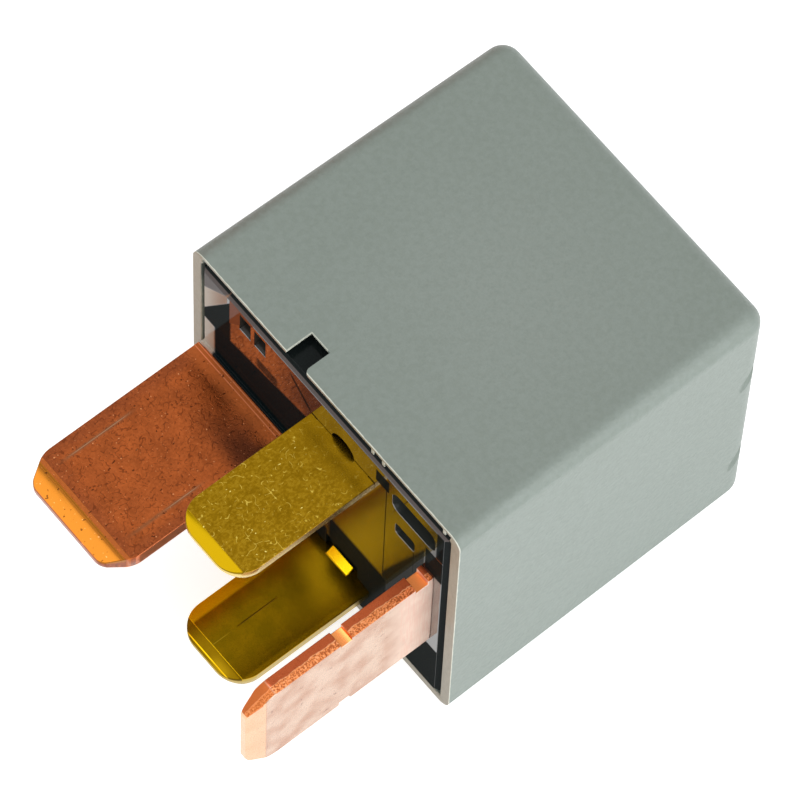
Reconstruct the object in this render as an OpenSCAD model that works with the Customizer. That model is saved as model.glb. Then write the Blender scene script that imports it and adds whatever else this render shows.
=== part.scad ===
// Plug-in automotive relay with four blade terminals, lying on one long side of its cover.
// +Z is up, X runs across the mouth of the cover, and the blades point along -Y.
// Each piece is drawn with Y = 0 at the mouth of the cover and with X = 0 and Z = 0 on the
// relay's middle line. placed() then sets it into the part's own frame, whose origin is
// under the middle of the whole relay. Power goes in at blade 30 and out at blade 87;
// blades 85 and 86 feed the coil.

/* [Cover] */
// Width of the cover across X
cover_w = 26.5; // [26.5:0.1:30]
// Thickness of the cover across Z
cover_t = 25.8; // [25.4:0.1:29]
// Depth of the cover along Y, from its mouth to its closed end
cover_h = 25.5; // [25.2:0.1:30]
// Wall thickness of the cover
cover_wall = 0.8; // [0.6:0.05:1]
// How far the three drafted sides lean in at the closed end
cover_draft = 0.2; // [0:0.05:0.3]
// Radius of the long edges at the mouth
cover_edge_r = 1.0; // [0.9:0.1:1.5]
// Radius of the edges round the closed end
cover_end_r = 1.5; // [1.1:0.1:2]
// Width of the notch in the rim
notch_w = 1.8; // [1:0.1:3]
// Depth of the notch in the rim
notch_depth = 2.1; // [1:0.1:2.4]
// Place of the notch's middle across the rim
notch_x = -3.0; // [-6:0.1:0]
// Diameter of the two small grooves across the edge of the closed end
nick_d = 1.2; // [0.8:0.1:1.4]
// Depth of the two small grooves
nick_depth = 0.25; // [0.1:0.05:0.35]
// Distance between the two small grooves
nick_spacing = 11.8; // [6:0.1:14]

/* [Base] */
// Thickness of the base plate inside the rim
base_t = 2.6; // [2.4:0.1:3.4]
// How far the base stands out of the cover's mouth
base_proud = 0.15; // [0.1:0.05:0.4]
// Gap between the base and the inside of the cover
base_gap = 0.15; // [0.05:0.05:0.2]
// Chamfer round the outer edge of the base
base_chamfer = 0.4; // [0.2:0.05:0.6]
// Radius of the corners of the base
base_corner_r = 0.5; // [0.3:0.1:1]
// Gap round each terminal in its slot
slot_gap = 0.05; // [0.03:0.01:0.1]
// Height of the lip round the slot of blade 30
lip_h = 0.2; // [0.1:0.05:0.3]
// Width of the lip
lip_w = 0.4; // [0.2:0.05:0.6]
// Depth of the small pockets in the outer face
pocket_depth = 0.8; // [0.3:0.1:1.5]
// Width of each of the two square pockets
pocket_w = 1.1; // [0.8:0.1:1.3]
// Height of each of the two square pockets
pocket_t = 2.0; // [1.5:0.1:2.4]
// Distance between the two square pockets
pocket_pitch = 1.5; // [1.4:0.1:2]
// Length of the long groove
groove_len = 4.2; // [3:0.1:4.6]
// Width of the long groove
groove_w = 2.2; // [1.8:0.1:2.4]
// Length of the short groove
vent_len = 1.9; // [1.4:0.1:2.4]
// Width of the short groove
vent_w = 1.4; // [0.8:0.1:1.6]

/* [Blade terminals] */
// Width of the two power blades
power_w = 9.5; // [9.3:0.1:9.6]
// Thickness of the two power blades
power_t = 1.2; // [1.1:0.05:1.25]
// Reach of blade 30 from the mouth of the cover
blade_30_len = 15.0; // [12:0.1:18]
// Reach of blade 87 from the mouth of the cover
blade_87_len = 15.0; // [12:0.1:18]
// Length of the chamfer on the tip corners of the power blades
power_corner_len = 1.9; // [1:0.1:2.4]
// Width that this chamfer takes off each side of the tip
power_corner_w = 1.2; // [0.5:0.1:1.8]
// Length of the bevel at the tip of the power blades
power_bevel = 1.4; // [0.8:0.1:2]
// Width of the two coil blades
coil_blade_w = 6.3; // [6.2:0.05:6.4]
// Thickness of the two coil blades
coil_blade_t = 0.8; // [0.75:0.05:0.85]
// Reach of the coil blades from the mouth of the cover
coil_blade_len = 11.3; // [9:0.1:14]
// Radius of the tip corners of the coil blades
coil_corner_r = 2.0; // [0.8:0.1:2.5]
// Length of the bevel at the tip of the coil blades
coil_bevel = 0.9; // [0.5:0.1:1.5]
// Length of the two nicks halfway along the edges of blade 87
blade_nick_len = 0.9; // [0.4:0.1:1.2]
// Depth of these nicks
blade_nick_depth = 0.4; // [0.2:0.05:0.6]
// Distance between blades 85 and 86
coil_blade_spacing = 16.8; // [16.6:0.1:17.4]
// Place of blades 85 and 86 across X
coil_blade_x = 2.05; // [1.9:0.05:2.2]
// Distance from the cover's side to the middle of blade 30
blade_30_inset = 5.75; // [5.7:0.05:5.95]
// Height of blade 30 above the relay's middle
blade_30_rise = 0.85; // [0.6:0.05:1]
// Distance from the cover's other side to the middle plane of blade 87
blade_87_inset = 2.65; // [2.55:0.05:2.75]
// How much narrower each terminal is inside its slot
shoulder_step = 0.6; // [0.4:0.05:0.8]

/* [Coil] */
// Diameter of the iron core
core_d = 5.0; // [4:0.1:5.4]
// Diameter of the core's riveted tail in the yoke
core_tail_d = 3.6; // [3:0.1:3.8]
// Diameter of the pole face on the core
pole_d = 8.4; // [7:0.1:9]
// Thickness of the pole face
pole_t = 1.55; // [1:0.05:2]
// Side of the bobbin's flanges
flange_w = 13.4; // [12.6:0.1:13.4]
// Thickness of the bobbin's flanges
flange_t = 1.0; // [0.8:0.1:1.4]
// Wall of the bobbin's tube
bobbin_wall = 0.9; // [0.7:0.1:1.1]
// How far the bobbin's flanges stand out past the copper winding
winding_inset = 0.7; // [0.6:0.1:1.5]
// Thickness of the tape round the winding
tape_t = 0.12; // [0.08:0.01:0.2]
// Diameter of the coil's two wire ends
wire_d = 0.26; // [0.2:0.02:0.3]
// Turns that each wire end makes round its post
wrap_turns = 3; // [2:1:4]

/* [Magnet frame and contacts] */
// Thickness of the iron yoke
yoke_t = 1.6; // [1.4:0.05:1.7]
// Room between the top of the yoke and the inside of the cover's closed end
headroom = 5.5; // [5.3:0.1:6.1]
// Distance from the cover's side to the yoke's outer side
yoke_inset = 2.85; // [2.75:0.05:2.95]
// Thickness of the iron armature
armature_t = 1.4; // [1.2:0.05:1.5]
// Distance from the end of the armature to the moving contact
armature_setback = 1.4; // [1:0.1:2.2]
// Angle that the armature opens by
open_angle = 3.0; // [2:0.1:3.4]
// Gap between parts that meet when the relay closes
meet_gap = 0.02; // [0.02:0.01:0.04]
// Thickness of the contact spring
spring_t = 0.25; // [0.2:0.01:0.3]
// Inside radius of the spring's bend round the hinge edge
spring_bend_r = 1.1; // [1:0.05:1.3]
// Diameter of both contacts
contact_d = 4.0; // [3:0.1:4.2]
// Thickness of each contact
contact_t = 0.8; // [0.5:0.05:0.9]
// Distance from the outer side of terminal 87's post to the middle of the contacts
contact_setback = 3.4; // [3.2:0.1:3.8]
// Thickness of the back stop strip
stop_t = 0.6; // [0.4:0.05:0.7]

/* [Resistor] */
// Diameter of the resistor across the coil
resistor_d = 2.2; // [1.8:0.1:2.4]
// Length of the resistor
resistor_len = 6.3; // [5:0.1:7]
// Diameter of the resistor's leads
resistor_lead_d = 0.55; // [0.4:0.05:0.6]

/* [Hidden] */
$fn = 48;
eps = 0.01;
past = 1;

// Where the mouth of the cover lies in the part's frame
seat_y = (max(blade_30_len, blade_87_len) - cover_h) / 2;
mid_z = cover_t / 2;

// Inside of the cover
inner_w = cover_w - 2 * cover_wall;
inner_t = cover_t - 2 * cover_wall;
base_w = inner_w - 2 * base_gap;
base_h = inner_t - 2 * base_gap;

// Terminals across X, and terminal 87's post inside the relay
blade_30_x = blade_30_inset - cover_w / 2;
blade_87_x = cover_w / 2 - blade_87_inset;
post_outer_x = blade_87_x + power_t / 2;
post_inner_x = blade_87_x - power_t / 2;
coil_blade_z = coil_blade_spacing / 2;

// Magnet frame: the yoke lies on the inside of the base plate
yoke_x = yoke_inset - cover_w / 2;
yoke_floor = base_t;
yoke_h = cover_h - cover_wall - headroom - base_t;
yoke_shelf = yoke_floor + yoke_t;
hinge_x = yoke_x;
hinge_y = yoke_floor + yoke_h;
yoke_bend_in = 0.4;
bobbin_fit = 0.05;
yoke_inner_x = yoke_x + yoke_t;
flange_gap = yoke_bend_in + bobbin_fit;
winding_d = flange_w - 2 * winding_inset;
yoke_w = winding_d;
coil_x = yoke_inner_x + flange_gap + flange_w / 2;
yoke_past_core = 2.6;
yoke_reach = core_tail_d / 2 + yoke_past_core;
pole_gap_closed = 0.05;
pole_top = hinge_y + meet_gap - pole_gap_closed;
bobbin_top = pole_top - pole_t;
tube_d = core_d + 2 * bobbin_wall;

// Armature and spring, at the closed position
contact_x = post_outer_x - contact_setback;
contact_reach = contact_x - hinge_x;
armature_len = contact_reach - contact_d / 2 - armature_setback;
plate_low = hinge_y + meet_gap;
plate_top = plate_low + armature_t;
tail_len = 1.3;
tail_w = 7.2;
spring_w = yoke_w - 1.0;
spring_leg_w = 1.5;
window_w = spring_w - 2 * spring_leg_w;
window_drop = 1.7;
window_low = hinge_y - window_drop;
window_past_hinge = 1.8;
window_end = hinge_x + window_past_hinge;
spring_drop = 10.2;
spring_low = hinge_y - spring_drop;
spring_reach = contact_reach + 2.7;
spring_end_w = 6.0;
taper_len = 2.4;
taper_end = armature_len + 0.4;
taper_start = taper_end - taper_len;

// The spring's bend starts on the yoke's outer side and ends on the tilted armature
bend_x = yoke_x + spring_bend_r;
bend_y = hinge_y
    + (plate_top - hinge_y - spring_bend_r * (1 - sin(open_angle))) / cos(open_angle);
bend_reach = (bend_x - hinge_x) * cos(open_angle) + (bend_y - hinge_y) * sin(open_angle);

// Contacts
moving_low = plate_top - contact_t;
fixed_top = moving_low - meet_gap;
shelf_top = fixed_top - contact_t;
contact_head_t = 0.5;
contact_head_d = 3.2;
contact_shank_d = 1.8;

// Rivets of the spring
rivet_d = 1.5;
rivet_head_d = 2.4;
rivet_head_t = 0.5;
rivet_z = 3.2;
yoke_rivet_drop = 6.6;
yoke_rivet_y = hinge_y - yoke_rivet_drop;
plate_rivet_inset = 2.6;
plate_rivet_reach = armature_len - plate_rivet_inset;

// Terminal 87's post and the shelf that carries the fixed contact
post_w = 6.0;
post_bend_in = 0.4;
shelf_reach = post_outer_x - contact_x + contact_d / 2 + 0.2;

// Terminal 30's tongue in the yoke
tongue_w = 4.0;
tongue_slot_floor = base_t - 0.6;

// Tails of terminals 85 and 86, beside the coil
tail_post_w = 1.2;
tail_post_h = 5.4;
tail_post_top = base_t + tail_post_h;
tail_post_x = coil_blade_x + coil_blade_w / 2 - shoulder_step - tail_post_w / 2;
wrap_h = 3.7;
wrap_y = base_t + wrap_h;
turn_d = wire_d + 0.08;
lead_run = 3.6;
wrap_r = sqrt(pow(tail_post_w / 2, 2) + pow(coil_blade_t / 2, 2)) + turn_d / 2;

// Resistor between the two tails, midway between the bobbin and terminal 87's post
resistor_x = (coil_x + flange_w / 2 + post_inner_x) / 2;
resistor_y = base_t + 1.0 + resistor_d / 2;

// Back stop over the end of the spring
stop_gap = 0.35;
stop_x = post_outer_x + stop_gap;
stop_w = 4.0;
stop_low = hinge_y + spring_reach * sin(open_angle)
    + (plate_top + spring_t - hinge_y) * cos(open_angle) + meet_gap;
stop_over = 0.9;
stop_sink = 1.6;
stop_foot = base_t - stop_sink;

// Places of the pockets and grooves on the outer face of the base
pocket_inset = 5.25;
pocket_x = pocket_inset - base_w / 2;
pocket_drop = 1.75;
pocket_z = base_h / 2 - pocket_drop;
groove_inset = 3.25;
groove_x = base_w / 2 - groove_inset;
groove_drop = 2.5;
groove_z = base_h / 2 - groove_drop;
vent_inset = 4.0;
vent_x = base_w / 2 - vent_inset;
vent_drop = 6.05;
vent_z = base_h / 2 - vent_drop;
groove_r = 0.7;
vent_r = 0.3;
relief_d = 2.2;
relief_depth = 0.5;

// Catch bent up from blade 85 at its root, and the recess in the base that it springs into
catch_x = coil_blade_x + 0.25;
catch_w = 2.1;
catch_h = 0.45;
catch_out = 0.46;
catch_in = 0.15;
recess_w = 3.2;
recess_h = 1.6;
recess_depth = 0.3;

// Moves a piece from the relay's own middle line into the part's frame.
module placed() {
    translate([0, seat_y, mid_z]) children();
}

// Turns the armature and what rides on it to where they rest, open, about the hinge edge.
module opened() {
    translate([hinge_x, hinge_y, 0])
        rotate([0, 0, open_angle])
            translate([-hinge_x, -hinge_y, 0]) children();
}

// A solid pulled along Y from an outline drawn in X and Z.
module along_y(low, high) {
    translate([0, high, 0]) rotate([90, 0, 0]) linear_extrude(high - low) children();
}

// A solid pulled along Z, to both sides of the middle, from an outline drawn in X and Y.
module across_z(width) {
    translate([0, 0, -width / 2]) linear_extrude(width) children();
}

// A rectangle about its middle with round corners.
module round_rect(w, h, r) {
    square([w - 2 * r, h], center = true);
    square([w, h - 2 * r], center = true);
    for (x = [-1, 1], y = [-1, 1])
        translate([x * (w / 2 - r), y * (h / 2 - r)]) circle(r);
}

// A strip bent once at a right angle, drawn in X and Y from the outside of its corner:
// one leg runs along +X and the other along +Y.
module bent_strip(along_x, along_y, thick, inside_r) {
    outside_r = inside_r + thick;
    translate([outside_r, 0]) square([along_x - outside_r, thick]);
    translate([0, outside_r]) square([thick, along_y - outside_r]);
    intersection() {
        square(outside_r);
        translate([outside_r, outside_r]) difference() {
            circle(outside_r);
            circle(inside_r);
        }
    }
}

// A round bar from one point to another.
module bar(from, to, d) {
    way = to - from;
    flat = norm([way.x, way.y]);
    translate(from)
        rotate([0, atan2(flat, way.z), atan2(way.y, way.x)])
            cylinder(h = norm(way), d = d);
}

// A dome that closes one corner of the cover.
module corner_dome(r) {
    rotate([-90, 0, 0]) rotate_extrude($fn = 32) intersection() {
        circle(r);
        square(r);
    }
}

// The space inside a rounded box that opens at Y = low. The side at -Z stays flat and level,
// and the other three sides lean in by the draft.
module drafted_box(w, t, low, high, edge_r, end_r, draft) {
    hull() {
        for (x = [-1, 1], z = [-1, 1])
            translate([x * (w / 2 - edge_r), low, z * (t / 2 - edge_r)])
                rotate([-90, 0, 0]) cylinder(r = edge_r, h = eps, $fn = 32);
        for (x = [-1, 1], z = [-1, 1])
            translate([x * (w / 2 - draft - end_r), high - end_r,
                z * (t / 2 - end_r) - (z > 0 ? draft : 0)])
                corner_dome(end_r);
    }
}

// The cutter for one groove: it runs over the rounded edge and fades out on the cover's side.
module edge_nick() {
    half = nick_d / 2;
    corner = cover_end_r * (1 - sqrt(0.5));
    off = (half - nick_depth) * sqrt(0.5);
    at_edge = [cover_w / 2 - cover_draft - corner + off, cover_h - corner + off, 0];
    fade = [cover_w / 2 - cover_draft + half, at_edge.y - 1.6, -2.2];
    bar(2 * at_edge - fade, fade, nick_d);
}

module cover() {
    color([0.54, 0.58, 0.55]) placed() difference() {
        drafted_box(cover_w, cover_t, 0, cover_h, cover_edge_r, cover_end_r, cover_draft);
        drafted_box(inner_w, inner_t, -eps, cover_h - cover_wall,
            cover_edge_r - cover_wall / 2, cover_end_r - cover_wall / 2, cover_draft);
        // Notch in the rim, through the upper side
        translate([notch_x - notch_w / 2, -eps, cover_t / 2 - cover_wall - cover_draft - eps])
            cube([notch_w, notch_depth + eps, cover_wall + cover_draft + 2 * eps]);
        // Slanting grooves across the long edge of the closed end
        for (side = [-1, 1]) translate([0, 0, side * nick_spacing / 2]) edge_nick();
    }
}

// One terminal's slot through the base, wide at the outside and narrow at the inside.
module slot(w, t, narrow_w, step_y) {
    along_y(-base_proud - lip_h - eps, step_y)
        square([w + 2 * slot_gap, t + 2 * slot_gap], center = true);
    along_y(step_y - eps, base_t + eps)
        square([narrow_w + 2 * slot_gap, t + 2 * slot_gap], center = true);
}

// The base plate with its chamfered outer edge, before its slots are cut.
module base_plate() {
    low = -base_proud;
    cut = base_chamfer;
    intersection() {
        along_y(low, base_t) round_rect(base_w, base_h, base_corner_r);
        across_z(base_h) polygon([[-base_w / 2, base_t], [-base_w / 2, low + cut],
            [-base_w / 2 + cut, low], [base_w / 2 - cut, low],
            [base_w / 2, low + cut], [base_w / 2, base_t]]);
        rotate([90, 0, 90]) linear_extrude(base_w, center = true)
            polygon([[base_t, -base_h / 2], [low + cut, -base_h / 2],
                [low, -base_h / 2 + cut], [low, base_h / 2 - cut],
                [low + cut, base_h / 2], [base_t, base_h / 2]]);
    }
}

module base() {
    color([0.12, 0.12, 0.12]) placed() difference() {
        union() {
            base_plate();
            translate([blade_30_x, 0, blade_30_rise]) along_y(-base_proud - lip_h, 0)
                square([power_w - 2 * shoulder_step + 2 * lip_w, power_t + 2 * lip_w],
                    center = true);
        }
        translate([blade_30_x, 0, blade_30_rise])
            slot(power_w - 2 * shoulder_step, power_t, tongue_w, tongue_slot_floor);
        translate([blade_87_x, 0, 0]) rotate([0, 90, 0])
            slot(power_w - 2 * shoulder_step, power_t, power_w - 2 * shoulder_step, 0);
        for (side = [-1, 1])
            translate([coil_blade_x, 0, side * coil_blade_z])
                slot(coil_blade_w - 2 * shoulder_step, coil_blade_t,
                    coil_blade_w - 2 * shoulder_step, 0);
        // Two square pockets, a long groove and a short one in the outer face
        for (side = [-1, 1])
            translate([pocket_x + side * pocket_pitch / 2, 0, pocket_z])
                along_y(-base_proud - eps, pocket_depth)
                    square([pocket_w, pocket_t], center = true);
        translate([groove_x, 0, groove_z]) along_y(-base_proud - eps, pocket_depth)
            round_rect(groove_len, groove_w, groove_r);
        translate([vent_x, 0, vent_z]) along_y(-base_proud - eps, pocket_depth)
            round_rect(vent_len, vent_w, vent_r);
        // Half-round relief beside blade 86
        translate([coil_blade_x, 0, coil_blade_z + coil_blade_t / 2])
            along_y(-base_proud - eps, relief_depth) circle(d = relief_d);
        // Recess over blade 85, for its catch
        translate([catch_x - recess_w / 2, -base_proud - eps, -coil_blade_z])
            cube([recess_w, recess_depth + eps, coil_blade_t / 2 + recess_h]);
        // Open groove for the foot of the back stop
        translate([stop_x - slot_gap, stop_foot - slot_gap, -stop_w / 2 - slot_gap])
            cube([base_w, base_t, stop_w + 2 * slot_gap]);
    }
}

// The side view of a blade with its bevelled tip, pulled across the blade's width.
module blade_profile(reach, w, t, bevel) {
    tip_t = t * 0.45;
    rotate([90, 0, 90]) linear_extrude(w, center = true)
        polygon([[0, -t / 2], [-reach + bevel, -t / 2], [-reach, -tip_t / 2],
            [-reach, tip_t / 2], [-reach + bevel, t / 2], [0, t / 2]]);
}

// A blade with chamfered tip corners that stops at Y = root.
module power_blade(reach, root) {
    intersection() {
        blade_profile(reach, power_w, power_t, power_bevel);
        across_z(power_t) polygon([[-power_w / 2, root],
            [-power_w / 2, -reach + power_corner_len],
            [-power_w / 2 + power_corner_w, -reach], [power_w / 2 - power_corner_w, -reach],
            [power_w / 2, -reach + power_corner_len], [power_w / 2, root]]);
    }
}

// A blade with round tip corners that stops at Y = root.
module coil_blade(reach, root) {
    r = coil_corner_r;
    intersection() {
        blade_profile(reach, coil_blade_w, coil_blade_t, coil_bevel);
        across_z(coil_blade_t) union() {
            translate([-coil_blade_w / 2, -reach + r])
                square([coil_blade_w, reach - r + root]);
            translate([-coil_blade_w / 2 + r, -reach])
                square([coil_blade_w - 2 * r, reach + root]);
            for (side = [-1, 1])
                translate([side * (coil_blade_w / 2 - r), -reach + r]) circle(r);
        }
    }
}

module terminal_30() {
    root = -base_proud - lip_h;
    body_w = power_w - 2 * shoulder_step;
    color([0.72, 0.40, 0.24]) placed() translate([blade_30_x, 0, blade_30_rise]) {
        power_blade(blade_30_len, root);
        across_z(power_t) {
            translate([-body_w / 2, root - eps])
                square([body_w, tongue_slot_floor - root + eps]);
            translate([-tongue_w / 2, 0]) square([tongue_w, yoke_shelf]);
        }
    }
}

module terminal_87() {
    root = -base_proud;
    body_w = power_w - 2 * shoulder_step;
    nick_y = -7.15;
    root_notch = 1.0;
    color([0.80, 0.52, 0.38]) placed() {
        translate([blade_87_x, 0, 0]) rotate([0, -90, 0]) difference() {
            union() {
                power_blade(blade_87_len, root);
                across_z(power_t) translate([-body_w / 2, root - eps])
                    square([body_w, base_t - root + eps]);
            }
            // Nicks halfway along both edges and a notch in the upper edge at the root
            for (side = [-1, 1])
                translate([side * power_w / 2, nick_y, 0])
                    cube([2 * blade_nick_depth, blade_nick_len, power_t + eps],
                        center = true);
            translate([power_w / 2, root - root_notch * 0.9, 0])
                cube([root_notch, root_notch, power_t + eps], center = true);
        }
        // Post, bend and shelf inside the relay
        difference() {
            across_z(post_w) translate([post_outer_x, shelf_top]) rotate(180)
                bent_strip(shelf_reach, shelf_top - base_t + eps, power_t, post_bend_in);
            translate([contact_x, shelf_top, 0]) rotate([90, 0, 0])
                translate([0, 0, -eps]) cylinder(d = contact_shank_d, h = power_t + 2 * eps);
        }
    }
}

// Terminal 85 or 86: blade, body in its slot, and the tail that the coil's wire is wound on.
module coil_terminal(side) {
    root = -base_proud;
    body_w = coil_blade_w - 2 * shoulder_step;
    placed() translate([0, 0, side * coil_blade_z]) {
        translate([coil_blade_x, 0, 0]) {
            coil_blade(coil_blade_len, root);
            across_z(coil_blade_t) translate([-body_w / 2, root - eps])
                square([body_w, base_t - root + eps]);
        }
        across_z(coil_blade_t) translate([tail_post_x - tail_post_w / 2, 0])
            square([tail_post_w, tail_post_top]);
    }
}

module terminal_85() {
    color([0.74, 0.60, 0.16]) {
        coil_terminal(-1);
        // Small catch at the root, on the upper side
        placed() translate([catch_x, -base_proud, -coil_blade_z + coil_blade_t / 2])
            rotate([90, 0, 90]) linear_extrude(catch_w, center = true)
                polygon([[-catch_out, -eps], [catch_in, -eps], [catch_in, catch_h]]);
    }
}

module terminal_86() {
    color([0.74, 0.60, 0.16]) coil_terminal(1);
}

module yoke() {
    color([0.62, 0.63, 0.65]) placed() difference() {
        across_z(yoke_w) translate([yoke_x, yoke_floor])
            bent_strip(coil_x - yoke_x + yoke_reach, yoke_h, yoke_t, yoke_bend_in);
        // Hole for the core's tail, slot for terminal 30's tongue, holes for the rivets
        translate([coil_x, yoke_shelf + eps, 0]) rotate([90, 0, 0])
            cylinder(d = core_tail_d, h = yoke_t + 2 * eps);
        translate([blade_30_x, 0, blade_30_rise]) along_y(yoke_floor - eps, yoke_shelf + eps)
            square([tongue_w + 2 * slot_gap, power_t + 2 * slot_gap], center = true);
        for (side = [-1, 1])
            translate([yoke_x - eps, yoke_rivet_y, side * rivet_z]) rotate([0, 90, 0])
                cylinder(d = rivet_d, h = yoke_t + 2 * eps);
    }
}

module core() {
    color([0.66, 0.67, 0.70]) placed() translate([coil_x, 0, 0]) rotate([-90, 0, 0]) {
        translate([0, 0, yoke_floor]) cylinder(d = core_tail_d, h = yoke_t + eps);
        translate([0, 0, yoke_shelf]) cylinder(d = core_d, h = bobbin_top - yoke_shelf + eps);
        translate([0, 0, bobbin_top]) cylinder(d = pole_d, h = pole_t);
    }
}

module bobbin() {
    bore_d = core_d + 2 * bobbin_fit;
    color([0.88, 0.87, 0.82]) placed() translate([coil_x, 0, 0]) difference() {
        union() {
            along_y(yoke_shelf, bobbin_top) circle(d = tube_d);
            along_y(yoke_shelf, yoke_shelf + flange_t) round_rect(flange_w, flange_w, 1.5);
            along_y(bobbin_top - flange_t, bobbin_top) round_rect(flange_w, flange_w, 1.5);
        }
        along_y(yoke_shelf - eps, bobbin_top + eps) circle(d = bore_d);
    }
}

// A sleeve between two flanges of the bobbin, held a little off each.
module sleeve(inner_d, outer_d, end_gap) {
    placed() translate([coil_x, 0, 0])
        along_y(yoke_shelf + flange_t + end_gap, bobbin_top - flange_t - end_gap)
            difference() {
                circle(d = outer_d);
                circle(d = inner_d);
            }
}

module winding() {
    color([0.72, 0.36, 0.18]) sleeve(tube_d, winding_d, 0);
}

module coil_tape() {
    color([0.85, 0.72, 0.30]) sleeve(winding_d, winding_d + 2 * tape_t, 3 * wire_d);
}

// One end of the coil's wire: off the winding, over the flange and round its post. The wire
// is a little thicker where it bends.
module coil_lead(side) {
    lead_y = yoke_shelf + flange_t + wire_d / 2 + meet_gap;
    off_z = side * (winding_d / 2 + wire_d / 2);
    bend_d = wire_d * 1.15;
    placed() {
        off = [coil_x, lead_y, off_z];
        over = [coil_x + lead_run, lead_y, off_z];
        at_post = [tail_post_x - wrap_r, wrap_y, side * coil_blade_z];
        bar(off, over, wire_d);
        translate(over) sphere(d = bend_d);
        bar(over, at_post, wire_d);
        // The turns lie against each other under their solder, as one ribbed sleeve
        translate([tail_post_x, wrap_y, side * coil_blade_z]) rotate([-90, 0, 0])
            rotate_extrude() translate([wrap_r, 0]) {
                for (turn = [0 : wrap_turns - 1])
                    translate([0, turn * turn_d]) circle(d = turn_d, $fn = 32);
                translate([-turn_d / 4, 0]) square([turn_d / 2, (wrap_turns - 1) * turn_d]);
            }
    }
}

module coil_lead_start() {
    color([0.78, 0.40, 0.18]) coil_lead(-1);
}

module coil_lead_finish() {
    color([0.78, 0.40, 0.18]) coil_lead(1);
}

module fixed_contact() {
    color([0.80, 0.80, 0.78]) placed() translate([contact_x, 0, 0]) rotate([-90, 0, 0]) {
        translate([0, 0, shelf_top]) cylinder(d = contact_d, h = contact_t);
        translate([0, 0, shelf_top - power_t])
            cylinder(d = contact_shank_d, h = power_t + eps);
    }
}

module back_stop() {
    top = stop_low + stop_t;
    reach = stop_x + stop_t - (hinge_x + spring_reach) + stop_over;
    stop_bend_in = 0.3;
    color([0.70, 0.70, 0.66]) placed() across_z(stop_w)
        translate([stop_x + stop_t, top]) rotate(180)
            bent_strip(reach, top - stop_foot, stop_t, stop_bend_in);
}

// A rivet whose head's inner face is at X = 0 and whose shank runs along +X.
module rivet(shank) {
    rotate([0, 90, 0]) {
        translate([0, 0, -rivet_head_t]) cylinder(d = rivet_head_d, h = rivet_head_t);
        translate([0, 0, -eps]) cylinder(d = rivet_d, h = shank + eps);
    }
}

module yoke_rivets() {
    color([0.75, 0.75, 0.76]) placed() for (side = [-1, 1])
        translate([yoke_x - spring_t, yoke_rivet_y, side * rivet_z])
            rivet(spring_t + yoke_t);
}

module resistor_body() {
    cap_len = 1.1;
    waist_d = resistor_d - 0.4;
    color([0.45, 0.62, 0.72]) placed() translate([resistor_x, resistor_y, 0]) {
        cylinder(d = waist_d, h = resistor_len - 2 * cap_len + 2 * eps, center = true);
        for (side = [-1, 1])
            translate([0, 0, side * (resistor_len - cap_len) / 2])
                cylinder(d = resistor_d, h = cap_len, center = true);
    }
}

module resistor_leads() {
    d = resistor_lead_d;
    post_side = tail_post_x + tail_post_w / 2;
    color([0.78, 0.78, 0.78]) placed() for (side = [-1, 1]) {
        translate([resistor_x, resistor_y, side * resistor_len / 2])
            mirror([0, 0, side < 0 ? 1 : 0])
                cylinder(d = d, h = coil_blade_z - resistor_len / 2, $fn = 24);
        translate([resistor_x, resistor_y, side * coil_blade_z]) sphere(d = d, $fn = 24);
        translate([post_side, resistor_y, side * coil_blade_z]) rotate([0, 90, 0])
            cylinder(d = d, h = resistor_x - post_side, $fn = 24);
    }
}

module armature() {
    color([0.64, 0.65, 0.67]) placed() opened() difference() {
        translate([hinge_x, plate_low, 0]) {
            translate([tail_len, 0, -yoke_w / 2])
                cube([armature_len - tail_len, armature_t, yoke_w]);
            translate([0, 0, -tail_w / 2]) cube([tail_len + eps, armature_t, tail_w]);
        }
        for (side = [-1, 1])
            translate([hinge_x + plate_rivet_reach, plate_top + eps, side * rivet_z])
                rotate([90, 0, 0]) cylinder(d = rivet_d, h = armature_t + 2 * eps);
    }
}

module armature_rivets() {
    color([0.75, 0.75, 0.76]) placed() opened() for (side = [-1, 1])
        translate([hinge_x + plate_rivet_reach, plate_top + spring_t, side * rivet_z])
            rotate([0, 0, -90]) rivet(spring_t + armature_t);
}

// The spring's side outline: upright flat, bend and the slope on the open armature.
module spring_side() {
    outside_r = spring_bend_r + spring_t;
    translate([yoke_x - spring_t, spring_low]) square([spring_t, bend_y - spring_low]);
    translate([bend_x, bend_y]) {
        intersection() {
            difference() {
                circle(outside_r);
                circle(spring_bend_r);
            }
            polygon([[0, 0], [-2 * outside_r, 0], [-2 * outside_r, 2 * outside_r],
                [-2 * outside_r * sin(open_angle), 2 * outside_r * cos(open_angle)]]);
        }
        rotate(open_angle) translate([0, spring_bend_r])
            square([spring_reach - bend_reach, spring_t]);
    }
}

// What is cut from the slope in plan: the tapering sides, the window and the holes.
module spring_cut_outs() {
    for (side = [-1, 1]) {
        polygon([[taper_start, side * spring_w / 2], [taper_end, side * spring_end_w / 2],
            [spring_reach + past, side * spring_end_w / 2],
            [spring_reach + past, side * spring_w],
            [taper_start, side * spring_w]]);
        translate([plate_rivet_reach, side * rivet_z]) circle(d = rivet_d);
    }
    translate([-past, -window_w / 2]) square([window_end - hinge_x + past, window_w]);
    translate([contact_reach, 0]) circle(d = contact_shank_d);
}

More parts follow.
